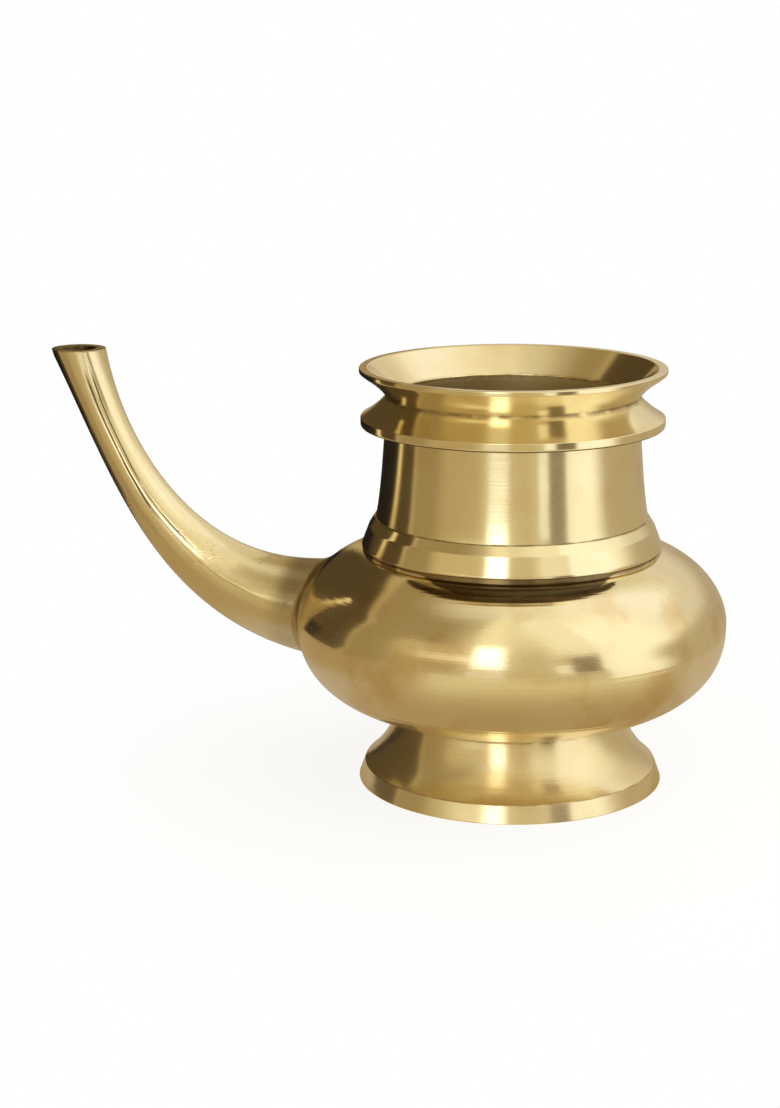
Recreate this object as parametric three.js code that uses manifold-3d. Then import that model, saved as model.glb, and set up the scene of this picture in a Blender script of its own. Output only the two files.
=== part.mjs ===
// Spouted brass water pot, cast in sections that are turned, fitted by spigots and brazed.
// Millimetres, +Z up, standing on z = 0, with the spout along -X.

import * as THREE from 'three';
import { mergeVertices } from 'three/addons/utils/BufferGeometryUtils.js';
import Module from 'manifold-3d';

const wasm = await Module();
wasm.setup();

// Sizes of the whole pot
const MOUTH_HEIGHT = 127;
const MOUTH_RADIUS = 45.8;
const BELLY_RADIUS = 65;
const BELLY_HEIGHT = 50.2; // height of the widest circle
const FOOT_RADIUS = 46.4;
const FOOT_HEIGHT = 20.9;
const COLLAR_BOTTOM = 72.9;
const NECK_BOTTOM = 82;
const NECK_TOP = 109;
const BORE_RADIUS = 35.2; // at the top of the neck and in the mouth
const WALL = 2.5;

// The belly is a superellipse above and below its widest circle, with a flat middle
const LOWER_FLAT = 21;
const LOWER_DEPTH = 28.4;
const LOWER_POWER = 2.4;
const UPPER_FLAT = 38.5;
const UPPER_RISE = 22.35;
const UPPER_POWER = 1.87;

// Turned joints between the sections
const SPIGOT = 2; // how far the neck and the lower bowl enter the upper bowl
const BELLY_JOINT = 31; // height of the joint, below the spout's root
const BEAD = 0.8; // half the height of the belly's braze groove
const GROOVE_DEPTH = 0.9;

// Spout
const SPOUT_TIP = new THREE.Vector3(-137, 0, 128);
const SPOUT_ROOT = new THREE.Vector3(-61, 0, 49.7);
const SPOUT_PULLS = [new THREE.Vector3(-117.8, 0, 65.5), new THREE.Vector3(-87.3, 0, 51.7)];
const SPOUT_RADII = [8.2, 6.55, 10.05, 15]; // at the tip, each third of the way, and the root
const SPOUT_BORES = [4.9, 4.1, 6.6, 9.9];
const SPOUT_SPIGOT_WALL = 1.5;
const SPOUT_FILLET = 2.2; // leg of the braze round the root
const FIT_GAP = 0.3; // between the spout, its braze and the belly

const LATHE_STEPS = 48;
const SPOUT_STEPS = 22;
const SPOUT_SIDES = 24;

const at = (radius, height) => new THREE.Vector2(radius, height);

// What a function makes of evenly spaced values
function spread(from, to, steps, make) {
  return Array.from({ length: steps + 1 }, (_, i) => make(THREE.MathUtils.lerp(from, to, i / steps)));
}

function bend(from, pull, to, steps) {
  return new THREE.QuadraticBezierCurve(from, pull, to).getPoints(steps);
}

// Turned solids stand on +Z; an outline runs up its outside and down its inside
function turn(outline) {
  return new THREE.LatheGeometry(outline, LATHE_STEPS).rotateX(Math.PI / 2);
}

function turnRing(outline) {
  return turn([...outline, outline[0]]);
}

// A quarter of the belly's outline, taken in by a depth; its angle is 0 at the widest circle
function bellyQuarter(flat, rise, power, inset = 0) {
  const reach = BELLY_RADIUS - flat - inset;
  const height = rise - Math.sign(rise) * inset;
  const pointAt = (angle) => at(
    flat + reach * Math.cos(angle) ** (2 / power),
    BELLY_HEIGHT + height * Math.sin(angle) ** (2 / power),
  );
  return {
    pointAt,
    angleAtRadius: (radius) => Math.acos(((radius - flat) / reach) ** (power / 2)),
    angleAtHeight: (z) => Math.asin(((z - BELLY_HEIGHT) / height) ** (power / 2)),
    radiusAtHeight(z) {
      return pointAt(this.angleAtHeight(z)).x;
    },
    run: (from, to, steps) => spread(from, to, steps, pointAt),
  };
}

const QUARTER = Math.PI / 2;
const lowerOutside = bellyQuarter(LOWER_FLAT, -LOWER_DEPTH, LOWER_POWER);
const lowerInside = bellyQuarter(LOWER_FLAT, -LOWER_DEPTH, LOWER_POWER, WALL);
const upperOutside = bellyQuarter(UPPER_FLAT, UPPER_RISE, UPPER_POWER);
const upperInside = bellyQuarter(UPPER_FLAT, UPPER_RISE, UPPER_POWER, WALL);

// Points that two neighbours share
const footSeat = { outer: 32.6, spigot: 29, inner: 26, end: FOOT_HEIGHT - 2.3, filler: 1.8 };
const bellyJoint = {
  lap: lowerOutside.radiusAtHeight(BELLY_JOINT) - WALL / 2,
  top: BELLY_JOINT + SPIGOT,
  groove: at(lowerOutside.radiusAtHeight(BELLY_JOINT) - GROOVE_DEPTH, BELLY_JOINT),
  below: lowerOutside.angleAtHeight(BELLY_JOINT - BEAD),
  above: lowerOutside.angleAtHeight(BELLY_JOINT + BEAD),
};
const neckSeat = {
  outer: 39.6,
  spigot: 38,
  bore: 36.2,
  end: COLLAR_BOTTOM - SPIGOT,
  under: upperInside.pointAt(QUARTER).y,
  filler: 1.6,
};
const collarSeat = { outer: 45.5, filler: 1.2 };
const mouthSeat = { spigot: 36.6, end: NECK_TOP - 3, filler: 0.9 };
const neckTopRadius = 38.2;

// A plain band below a flare that sweeps out from a steep top, hollow and open underneath
function foot() {
  const bandTop = at(FOOT_RADIUS - 1.4, 5.2);
  const flareTop = at(footSeat.outer, FOOT_HEIGHT);
  const flare = new THREE.CubicBezierCurve(bandTop, at(39.5, 7.6), at(35.1, 13), flareTop);
  const rimInside = at(FOOT_RADIUS - 3.6, 0);
  const hollowBottom = at(rimInside.x - 0.8, 3.2);
  const hollowPull = at(35, 10);
  const hollowTop = at(footSeat.spigot, footSeat.end - footSeat.filler);
  return turnRing([
    rimInside,
    at(FOOT_RADIUS, 0),
    ...flare.getPoints(7),
    at(footSeat.spigot, FOOT_HEIGHT),
    ...bend(hollowTop, hollowPull, hollowBottom, 4),
  ]);
}

function footBraze() {
  return turnRing([
    at(footSeat.spigot, footSeat.end - footSeat.filler),
    at(footSeat.spigot, footSeat.end),
    at(footSeat.spigot - footSeat.filler, footSeat.end),
  ]);
}

function lowerBowl() {
  const floorUnder = BELLY_HEIGHT - LOWER_DEPTH;
  return turn([
    at(0, floorUnder),
    at(footSeat.inner, floorUnder),
    at(footSeat.inner, footSeat.end),
    at(footSeat.spigot, footSeat.end),
    at(footSeat.spigot, FOOT_HEIGHT),
    at(footSeat.outer, FOOT_HEIGHT),
    ...lowerOutside.run(lowerOutside.angleAtRadius(footSeat.outer), bellyJoint.below, 5),
    bellyJoint.groove,
    at(bellyJoint.lap, BELLY_JOINT),
    at(bellyJoint.lap, bellyJoint.top),
    ...lowerInside.run(lowerInside.angleAtHeight(bellyJoint.top), QUARTER, 5),
    at(0, floorUnder + WALL),
  ]);
}

function bellyBraze() {
  return turnRing([
    lowerOutside.pointAt(bellyJoint.below),
    lowerOutside.pointAt(bellyJoint.above),
    bellyJoint.groove,
  ]);
}

// A small cove leads the shoulder up to the collar's seat
function upperBowlBlank() {
  const coveWidth = 1.7;
  const coveStart = upperOutside.angleAtRadius(collarSeat.outer + coveWidth);
  const coveBottom = upperOutside.pointAt(coveStart);
  const covePull = at(collarSeat.outer + 0.2, coveBottom.y + 0.5);
  const coveTop = at(collarSeat.outer, COLLAR_BOTTOM);
  return turnRing([
    at(bellyJoint.lap, bellyJoint.top),
    at(bellyJoint.lap, BELLY_JOINT),
    bellyJoint.groove,
    ...lowerOutside.run(bellyJoint.above, 0, 5),
    ...upperOutside.run(0, coveStart, 8).slice(1),
    ...bend(coveBottom, covePull, coveTop, 2).slice(1),
    at(neckSeat.spigot, COLLAR_BOTTOM),
    at(neckSeat.spigot, neckSeat.under),
    ...upperInside.run(QUARTER, 0, 6),
    ...lowerInside.run(0, lowerInside.angleAtHeight(bellyJoint.top), 3).slice(1),
  ]);
}

// A leaning band under a steeper bevel, with its bottom edge eased
function shoulderCollar() {
  const eased = { width: 0.4, height: 0.8 };
  const crease = at(43, COLLAR_BOTTOM + 6.3);
  const bevelTop = at(41.2, NECK_BOTTOM);
  return turnRing([
    at(neckSeat.outer + collarSeat.filler, COLLAR_BOTTOM),
    at(collarSeat.outer - eased.width, COLLAR_BOTTOM),
    at(collarSeat.outer, COLLAR_BOTTOM + eased.height),
    crease,
    bevelTop,
    at(neckSeat.outer, NECK_BOTTOM),
    at(neckSeat.outer, COLLAR_BOTTOM + collarSeat.filler),
  ]);
}

function collarBraze() {
  return turnRing([
    at(neckSeat.outer, COLLAR_BOTTOM),
    at(neckSeat.outer + collarSeat.filler, COLLAR_BOTTOM),
    at(neckSeat.outer, COLLAR_BOTTOM + collarSeat.filler),
  ]);
}

function neck() {
  const skirt = at(40.9, NECK_BOTTOM);
  const taperPull = at(39.4, 88.8);
  return turnRing([
    at(neckSeat.bore, neckSeat.end),
    at(neckSeat.spigot, neckSeat.end),
    at(neckSeat.spigot, COLLAR_BOTTOM),
    at(neckSeat.outer, COLLAR_BOTTOM),
    at(neckSeat.outer, NECK_BOTTOM),
    ...bend(skirt, taperPull, at(neckTopRadius, NECK_TOP), 5),
    at(mouthSeat.spigot, NECK_TOP),
    at(mouthSeat.spigot, mouthSeat.end),
    at(BORE_RADIUS, mouthSeat.end),
  ]);
}

function neckBraze() {
  return turnRing([
    at(neckSeat.spigot, neckSeat.under),
    at(neckSeat.spigot, neckSeat.end),
    at(neckSeat.spigot - neckSeat.filler, neckSeat.end),
  ]);
}

// A flange, a narrow throat and a flared lip, with one sharp edge inside where the bore begins
function mouthRing() {
  const throat = at(37.8, MOUTH_HEIGHT - 8.6);
  const flangeEdge = at(MOUTH_RADIUS - 0.4, NECK_TOP + 0.6);
  const flangeTop = at(flangeEdge.x, flangeEdge.y + 2.6);
  const flangePull = at(flangeTop.x - 4.2, flangeTop.y + 2.3);
  const flarePull = at(throat.x + 1.6, throat.y + 3);
  const flareTop = at(MOUTH_RADIUS - 1.1, MOUTH_HEIGHT - 2.2);
  const lip = { width: 2.6, height: 1.3, eased: 0.5 };
  return turnRing([
    at(mouthSeat.spigot, mouthSeat.end + mouthSeat.filler),
    at(mouthSeat.spigot, NECK_TOP),
    at(neckTopRadius, NECK_TOP),
    at(flangeEdge.x - lip.eased, flangeEdge.y),
    at(flangeEdge.x, flangeEdge.y + lip.eased),
    ...bend(flangeTop, flangePull, throat, 2).slice(0, -1),
    ...bend(throat, flarePull, flareTop, 4),
    at(MOUTH_RADIUS, MOUTH_HEIGHT - lip.height),
    at(MOUTH_RADIUS, MOUTH_HEIGHT - lip.eased),
    at(MOUTH_RADIUS - lip.eased, MOUTH_HEIGHT),
    at(MOUTH_RADIUS - lip.width, MOUTH_HEIGHT),
    at(BORE_RADIUS, throat.y + lip.eased),
    at(BORE_RADIUS, mouthSeat.end),
    at(mouthSeat.spigot - mouthSeat.filler, mouthSeat.end),
  ]);
}

function mouthBraze() {
  return turnRing([
    at(mouthSeat.spigot - mouthSeat.filler, mouthSeat.end),
    at(mouthSeat.spigot, mouthSeat.end),
    at(mouthSeat.spigot, mouthSeat.end + mouthSeat.filler),
  ]);
}

// Closed meshes to solids that can be cut, and back
function toSolid(geometry) {
  geometry.deleteAttribute('normal');
  geometry.deleteAttribute('uv');
  const merged = mergeVertices(geometry);
  const corners = merged.getIndex().array;
  const triangles = [];
  for (let i = 0; i < corners.length; i += 3) {
    const triangle = corners.slice(i, i + 3);
    if (new Set(triangle).size === 3) triangles.push(...triangle);
  }
  return new wasm.Manifold(new wasm.Mesh({
    numProp: 3,
    vertProperties: merged.getAttribute('position').array,
    triVerts: new Uint32Array(triangles),
  }));
}

function toGeometry(solid) {
  const { vertProperties, triVerts } = solid.getMesh();
  const geometry = new THREE.BufferGeometry();
  geometry.setAttribute('position', new THREE.BufferAttribute(vertProperties, 3));
  geometry.setIndex(new THREE.BufferAttribute(triVerts, 1));
  geometry.computeVertexNormals();
  return geometry;
}

// Triangles between rows of points, each row a closed loop; the end rows are capped, or joined
function skin(rows, joined) {
  const sides = rows[0].length;
  const last = (rows.length - 1) * sides;
  const triangles = [];
  rows.forEach((_, i) => {
    const row = i * sides;
    const ahead = row === last ? 0 : row + sides;
    for (let k = 0; k < sides && (joined || row < last); k += 1) {
      const next = (k + 1) % sides;
      triangles.push(row + k, ahead + k, row + next, row + next, ahead + k, ahead + next);
    }
  });
  for (let k = 1; k < sides - 1 && !joined; k += 1) {
    triangles.push(0, k, k + 1, last, last + k + 1, last + k);
  }
  return new THREE.BufferGeometry().setFromPoints(rows.flat()).setIndex(triangles);
}

const spoutLine = new THREE.CubicBezierCurve3(SPOUT_TIP, ...SPOUT_PULLS, SPOUT_ROOT);
const spoutLength = spoutLine.getLength();
const ACROSS = new THREE.Vector3(0, 1, 0);

// The cubic through the values at the spout's tip, thirds and root, level past its ends
function alongSpout([tip, third, twoThirds, root], share) {
  const s = 3 * THREE.MathUtils.clamp(share, 0, 1);
  return (tip * (1 - s) * (2 - s) * (3 - s) + 3 * third * s * (2 - s) * (3 - s)
    + 3 * twoThirds * s * (s - 1) * (3 - s) + root * s * (s - 1) * (s - 2)) / 6;
}

const spoutRadius = (s) => alongSpout(SPOUT_RADII, s);
const spoutBore = (s) => alongSpout(SPOUT_BORES, s);
const spigotRadius = (s) => spoutBore(s) + SPOUT_SPIGOT_WALL;

// A point on the round section square to the spout's line, which runs on straight past its ends
function onSpout(s, angle, radius) {
  const share = THREE.MathUtils.clamp(s, 0, 1);
  const tangent = spoutLine.getTangentAt(share);
  const upward = new THREE.Vector3().crossVectors(ACROSS, tangent);
  return spoutLine.getPointAt(share)
    .addScaledVector(tangent, (s - share) * spoutLength)
    .addScaledVector(ACROSS, radius * Math.cos(angle))
    .addScaledVector(upward, radius * Math.sin(angle));
}

function roundTheSpout(make) {
  return spread(0, 2 * Math.PI, SPOUT_SIDES, make).slice(0, -1);
}

function spoutLoft(radiusAt, from, to, steps) {
  const section = (s) => roundTheSpout((angle) => onSpout(s, angle, radiusAt(s)));
  return toSolid(skin(spread(from, to, steps, section), false));
}

// The belly's outside, grown by the fit's gap
const lowerGrown = bellyQuarter(LOWER_FLAT, -LOWER_DEPTH, LOWER_POWER, -FIT_GAP);
const upperGrown = bellyQuarter(UPPER_FLAT, UPPER_RISE, UPPER_POWER, -FIT_GAP);

function grownBelly() {
  return toSolid(turn([
    at(0, lowerGrown.pointAt(QUARTER).y),
    ...lowerGrown.run(QUARTER, 0, 12),
    ...upperGrown.run(0, QUARTER, 12).slice(1),
    at(0, upperGrown.pointAt(QUARTER).y),
  ]));
}

function isInBelly({ x, y, z }) {
  const quarter = z < BELLY_HEIGHT ? lowerGrown : upperGrown;
  return Math.hypot(x, y) < quarter.radiusAtHeight(z);
}

// Where a line along the spout, lifted off its skin, enters the belly, found by halving
function meetBelly(angle, lift) {
  let [outside, inside] = [0.8, 1.2];
  while (inside - outside > 1e-6) {
    const s = (outside + inside) / 2;
    if (isInBelly(onSpout(s, angle, spoutRadius(s) + lift))) inside = s;
    else outside = s;
  }
  return outside;
}

// Shares of the spout's length: lofts that are cut run past its ends
const PAST_TIP = -0.06;
const PAST_ROOT = 1.12;
const SPIGOT_START = 0.86;
const SPIGOT_STEPS = 4;

// The tube is cut level at its tip and to the belly's curve at its root
function spout() {
  const cut = 60;
  const above = new THREE.BoxGeometry(cut, cut, cut).translate(SPOUT_TIP.x, 0, SPOUT_TIP.z + cut / 2);
  const tube = spoutLoft(spoutRadius, PAST_TIP, PAST_ROOT, SPOUT_STEPS).subtract(grownBelly());
  const spigot = spoutLoft(spigotRadius, SPIGOT_START, 1, SPIGOT_STEPS);
  const bore = spoutLoft(spoutBore, 2 * PAST_TIP, PAST_ROOT, SPOUT_STEPS - 4);
  return toGeometry(tube.add(spigot).subtract(bore).subtract(toSolid(above)));
}

// A hollow fillet in the corner between the spout and the belly
function spoutBraze() {
  const section = (angle) => {
    const standing = (lift, back) => {
      const s = meetBelly(angle, FIT_GAP + lift) - back / spoutLength;
      return onSpout(s, angle, spoutRadius(s) + FIT_GAP + lift);
    };
    return [
      standing(0, SPOUT_FILLET),
      standing(0, 0),
      standing(SPOUT_FILLET / 2, 0),
      standing(SPOUT_FILLET, 0),
      standing(SPOUT_FILLET / 3, SPOUT_FILLET / 3),
    ];
  };
  return skin(roundTheSpout(section), true);
}

function upperBowl() {
  const hole = spoutLoft((s) => spigotRadius(s) + FIT_GAP, SPIGOT_START, PAST_ROOT, SPIGOT_STEPS);
  return toGeometry(toSolid(upperBowlBlank()).subtract(hole));
}

const pot = new THREE.Group();

function addPiece(name, geometry, color, roughness) {
  const material = new THREE.MeshStandardMaterial({ color, roughness, metalness: 1 });
  const piece = new THREE.Mesh(geometry, material);
  piece.name = name;
  pot.add(piece);
}

const brass = (name, geometry) => addPiece(name, geometry, 0xd3b06a, 0.18);
const filler = (name, geometry) => addPiece(name, geometry, 0xd8bd7c, 0.32);

brass('foot', foot());
brass('lower_bowl', lowerBowl());
brass('upper_bowl', upperBowl());
brass('shoulder_collar', shoulderCollar());
brass('neck', neck());
brass('mouth_ring', mouthRing());
brass('spout', spout());
filler('foot_braze', footBraze());
filler('belly_braze', bellyBraze());
filler('collar_braze', collarBraze());
filler('neck_braze', neckBraze());
filler('mouth_braze', mouthBraze());
filler('spout_braze', spoutBraze());

// The frame's origin is the middle of the pot's own box, on the plane that it stands on
pot.position.x = -new THREE.Box3().setFromObject(pot).getCenter(new THREE.Vector3()).x;

export default pot;
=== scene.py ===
import bpy
import bmesh
import math
import numpy as np
from mathutils import Matrix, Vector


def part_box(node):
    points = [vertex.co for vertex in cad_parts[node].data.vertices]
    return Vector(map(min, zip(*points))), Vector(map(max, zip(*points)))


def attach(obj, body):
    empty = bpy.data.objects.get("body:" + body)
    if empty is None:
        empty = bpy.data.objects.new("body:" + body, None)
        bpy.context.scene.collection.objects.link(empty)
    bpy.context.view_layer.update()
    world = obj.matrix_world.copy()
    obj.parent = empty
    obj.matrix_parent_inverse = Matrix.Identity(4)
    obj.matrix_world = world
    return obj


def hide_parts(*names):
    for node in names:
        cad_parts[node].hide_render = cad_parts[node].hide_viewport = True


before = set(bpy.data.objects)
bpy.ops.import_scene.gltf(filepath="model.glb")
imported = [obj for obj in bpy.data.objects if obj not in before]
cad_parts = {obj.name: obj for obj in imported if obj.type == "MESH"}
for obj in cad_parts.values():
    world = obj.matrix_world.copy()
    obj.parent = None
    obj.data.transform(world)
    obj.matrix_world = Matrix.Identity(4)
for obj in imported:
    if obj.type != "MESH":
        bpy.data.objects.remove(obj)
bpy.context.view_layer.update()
mm = 0.001

# every section takes its radius and heights, in mm, from its own node in the frame
def sectionOf(node):
    low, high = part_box(node)
    return {"radius": (high.y - low.y) / 2 / mm, "bottom": low.z / mm, "top": high.z / mm}

footNode, upperNode = sectionOf("foot"), sectionOf("upper_bowl")
collarNode, neckNode, mouthNode = sectionOf("shoulder_collar"), sectionOf("neck"), sectionOf("mouth_ring")
neckLow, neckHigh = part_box("neck")
axisX = (neckLow.x + neckHigh.x) / 2 / mm  # the line that the body is turned about

fineness = {"turns": 288, "corner": 5, "sharpFrom": 32, "spoutSides": 120, "spoutRows": 180,
            "filletRows": 14, "lineSteps": 2000, "lineSkip": 10}
# the share of a side that a corner may take up, and how many such reaches out its outer points lie
easing = {"sideShare": 0.3, "beyond": 1.5}
print("frame: turned axis at x = %.2f mm, mouth %.1f mm high" % (axisX, mouthNode["top"]))


# the Bezier curve of its points: neighbours are blended by t, again and again, until one is left
def bend(steps, *points):
    t = np.linspace(0, 1, steps + 1)[:, None, None]
    level = np.array(points, float)[None] + 0 * t
    while level.shape[1] > 1:
        level = (1 - t) * level[:, :-1] + t * level[:, 1:]
    return level[:, 0]


# every corner of a closed outline becomes a parabola between two points set back along its sides,
# with one more point outside each, so that the flat beside it still shades flat
def easeCorners(rows, ease):
    ease = np.reshape(ease, (-1,) + (1,) * (rows.ndim - 1))
    back, ahead = np.roll(rows, 1, 0) - rows, np.roll(rows, -1, 0) - rows
    backLength = np.linalg.norm(back, axis=-1, keepdims=True).clip(1e-9)
    aheadLength = np.linalg.norm(ahead, axis=-1, keepdims=True).clip(1e-9)
    reach = np.minimum(ease, easing["sideShare"] * np.minimum(backLength, aheadLength))
    start, end = rows + back / backLength * reach, rows + ahead / aheadLength * reach
    t = np.linspace(0, 1, fineness["corner"] + 1).reshape((1, -1) + (1,) * (rows.ndim - 1))
    curve = (1 - t) ** 2 * start[:, None] + 2 * t * (1 - t) * rows[:, None] + t ** 2 * end[:, None]
    outside = (rows + back / backLength * reach * easing["beyond"])[:, None]
    beyond = (rows + ahead / aheadLength * reach * easing["beyond"])[:, None]
    eased = np.concatenate([outside, curve, beyond], 1).reshape((-1,) + rows.shape[1:])
    step = np.linalg.norm(eased - np.roll(eased, 1, 0), axis=-1).reshape(len(eased), -1).max(1)
    return eased[step > 1e-6]


# runs of points, each with the easing of its corners, make one closed outline of radius and height
def outlineOf(*runs):
    spans = [np.reshape(points, (-1, 2)).astype(float) for points, ease in runs]
    ease = np.concatenate([np.full(len(s), e, float) for s, (points, e) in zip(spans, runs)])
    return easeCorners(np.vstack(spans), ease)


# a grid of points in mm becomes a closed mesh: rows join end to start, and so do columns
def gridMesh(name, grid):
    rows, cols = grid.shape[:2]
    index = np.arange(rows * cols).reshape(rows, cols)
    ahead = np.roll(index, -1, 0)
    quads = np.stack([index, np.roll(index, -1, 1), np.roll(ahead, -1, 1), ahead], -1).reshape(-1, 4)
    mesh = bpy.data.meshes.new(name)
    mesh.from_pydata((grid.reshape(-1, 3) * mm).tolist(), [], quads.tolist())
    merged = bmesh.new()
    merged.from_mesh(mesh)
    bmesh.ops.remove_doubles(merged, verts=merged.verts, dist=1e-7)  # closes the poles
    merged.to_mesh(mesh)
    merged.free()
    return mesh


# smooth shading up to a crease's angle, then the piece's body, the node that it stands for, and its slot
def finishPiece(piece, node, material):
    mesh = piece.data
    mesh.polygons.foreach_set("use_smooth", np.ones(len(mesh.polygons), bool))
    mesh.set_sharp_from_angle(angle=math.radians(fineness["sharpFrom"]))
    mesh.materials.clear()
    mesh.materials.append(material)
    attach(piece, "root")
    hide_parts(node)
    print("made", piece.name, len(mesh.polygons), "faces")
    return piece


def newObject(mesh):
    made = bpy.data.objects.new(mesh.name, mesh)
    bpy.context.scene.collection.objects.link(made)
    return made


# an outline swung round the axis: x = axis + r cos a, y = r sin a, z = height
def swing(outline):
    angle = np.linspace(0, 2 * math.pi, fineness["turns"], endpoint=False)
    r, z = outline[:, :1], outline[:, 1:]
    return np.stack([axisX + r * np.cos(angle), r * np.sin(angle), z + 0 * angle], -1)


# one output of a node; arithmetic on it adds Math nodes
class Wire:
    def __init__(self, graph, socket):
        self.graph, self.socket = graph, socket

    def math(self, operation, *others):
        return self.graph.add("Math", {"operation": operation}, dict(enumerate((self,) + others)))

    def __add__(self, other):
        return self.math("ADD", other)

    def __sub__(self, other):
        return self.math("SUBTRACT", other)

    def __mul__(self, other):
        return self.math("MULTIPLY", other)

    def __truediv__(self, other):
        return self.math("DIVIDE", other)

    def __pow__(self, other):
        return self.math("POWER", other)

    def __rsub__(self, other):
        return self.graph.add("Math", {"operation": "SUBTRACT"}, {0: other, 1: self})

    __radd__ = __add__
    __rmul__ = __mul__

    # 0 below low and 1 above high, eased between; low may be the larger one
    def between(self, low, high):
        return self.graph.add("MapRange", {"interpolation_type": "SMOOTHSTEP"},
                              {"Value": self, "From Min": low, "From Max": high})

    # 1 at a value, easing to 0 at a distance from it
    def near(self, value, reach):
        return (self - value).math("ABSOLUTE").between(reach, 0)


# a node tree that one method fills: a node's type, its settings, then its sockets' values or wires
class Graph:
    def __init__(self, tree):
        self.tree = tree
        tree.nodes.clear()

    def add(self, kind, settings={}, sockets={}, output=0):
        node = self.tree.nodes.new("ShaderNode" + kind)
        for name, value in settings.items():
            setattr(node, name, value)
        for name, value in sockets.items():
            if isinstance(value, Wire):
                self.tree.links.new(value.socket, node.inputs[name])
            else:
                node.inputs[name].default_value = value
        outputs = [o for o in node.outputs if o.enabled]
        if not outputs:
            return node
        return Wire(self, outputs[output] if isinstance(output, int) else node.outputs[output])

    # mask 0 keeps one colour and 1 gives the other
    def blend(self, mask, one, other):
        colours = [c if isinstance(c, Wire) else tuple(c) + (1,) for c in (one, other)]
        return self.add("Mix", {"data_type": "RGBA"}, {0: mask, 6: colours[0], 7: colours[1]})

    def split(self, vector):
        node = self.add("SeparateXYZ", {}, {"Vector": vector}).socket.node
        return [Wire(self, node.outputs[i]) for i in range(3)]

    # noise whose features are about gap long, which may differ along axes turned by angles
    def noise(self, vector, gap, detail, turned=(0, 0, 0)):
        size = gap if isinstance(gap, tuple) else (gap,) * 3
        turned = tuple(math.radians(a) for a in turned)
        placed = self.add("Mapping", {"vector_type": "TEXTURE"},
                          {"Vector": vector, "Rotation": turned, "Scale": size})
        return self.add("TexNoise", {}, {"Vector": placed, "Scale": 1, "Detail": detail})

    # where a point is, in mm from the turned axis and the floor, on axes turned about that axis
    def fromAxis(self, turn=0):
        return self.add("Mapping", {"vector_type": "TEXTURE"}, {
            "Vector": self.add("TexCoord", {}, {}, "Object"), "Location": (axisX * mm, 0, 0),
            "Rotation": (0, 0, math.radians(turn)), "Scale": (mm, mm, mm)})


def newMaterial(name):
    material = bpy.data.materials.new(name)
    material.use_nodes = True
    return material, Graph(material.node_tree)


cameraSide = (0.242, -0.970)  # across the floor, towards the camera's side, which is also the side that is picked up; painted shade under the collar is deepest there
# the tarnish colour also serves for painted shade and painted dark reflections
brassColour = {"bright": (0.91, 0.805, 0.54), "rubbed": (0.885, 0.765, 0.49), "dull": (0.30, 0.205, 0.09),
               "tarnishAndShade": (0.10, 0.065, 0.025), "warm": (0.80, 0.60, 0.32)}
hazeRough = 0.25  # how much rougher the haze is than the bright metal round it


# heights in mm go through one Bump node; the mask of dulled metal moves the colour, and the share of haze,
# which is metal that the polish left soft, is mixed into the bright metal
def coatBrass(g, colour, dull, roughness, height, haze):
    normal = g.add("Bump", {}, {"Strength": 1, "Distance": mm, "Height": height})
    metal = g.blend(dull, colour, brassColour["dull"])
    clear, soft = [
        g.add("BsdfPrincipled", {}, {"Base Color": metal, "Metallic": 1, "Roughness": r, "Normal": normal})
        for r in (roughness, roughness + hazeRough)]
    g.add("OutputMaterial", {}, {"Surface": g.add("MixShader", {}, {0: haze, 1: clear, 2: soft})})


# what the lathe, the cloth and the hand leave on every turned piece: how far apart the marks are and how
# deep, in mm, and what each adds to the roughness, as well as what painted shade adds to it
polish = {
    "fineGap": 0.35, "fineDepth": 0.0016, "fineRough": 0.05, "smudgeGap": 26, "smudgeRough": 0.08,
    "hairGap": (26, 1.1, 1.1), "hairTurn": (20, 35, 50), "hairWidth": 0.012, "hairDepth": 0.0012,
    "hairRough": 0.05, "grimeGap": 5, "grimeDull": 0.75, "grimeRough": 0.15, "insideDull": 0.16,
    "insideRough": 0.16, "hazeGap": 0.9, "warmGap": 15, "paintedShadeRough": 0.12, "softRough": 0.05,
}
# what a turned piece has unless its own finish says otherwise; the two heights are off the pot
plainFinish = {"warm": 0.3, "agedAndPaintedDark": 0, "handled": 0, "hazeTop": (200, 201), "softBelow": (-2, -1)}
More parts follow.
